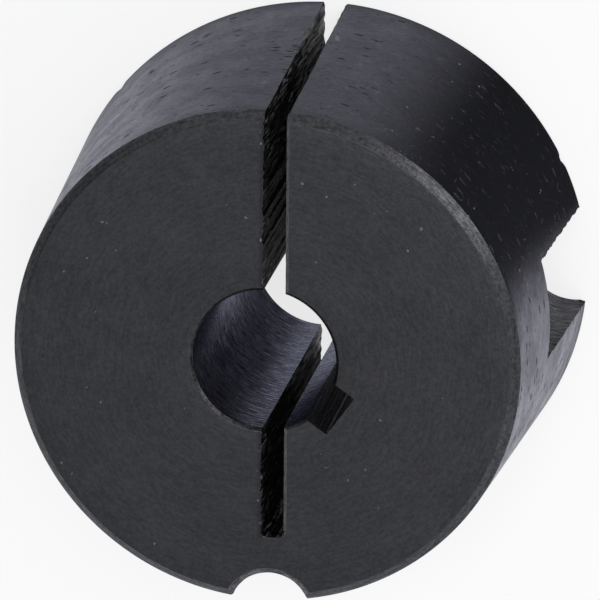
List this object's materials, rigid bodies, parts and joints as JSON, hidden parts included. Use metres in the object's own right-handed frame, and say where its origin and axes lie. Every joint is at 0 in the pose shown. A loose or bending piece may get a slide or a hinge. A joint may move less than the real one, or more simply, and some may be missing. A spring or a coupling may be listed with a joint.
{
  "type": "taper bush",
  "caption": "Split conical bush with a keyed bore, a relief slot and screw half-holes on its taper.",
  "frame": {"origin": "on the bore axis, in the plane of the large end", "axes": "+Z along the bore axis towards the small end; +Y towards the saw cut that splits the wall; +X towards the first screw half-hole"},
  "size_m": [0.0348, 0.0349, 0.0223],
  "materials": {
    "blackened_iron": "satin, blackened"
  },
  "bodies": {
    "root": {"taper_bush": "blackened_iron"}
  },
  "joints": []
}
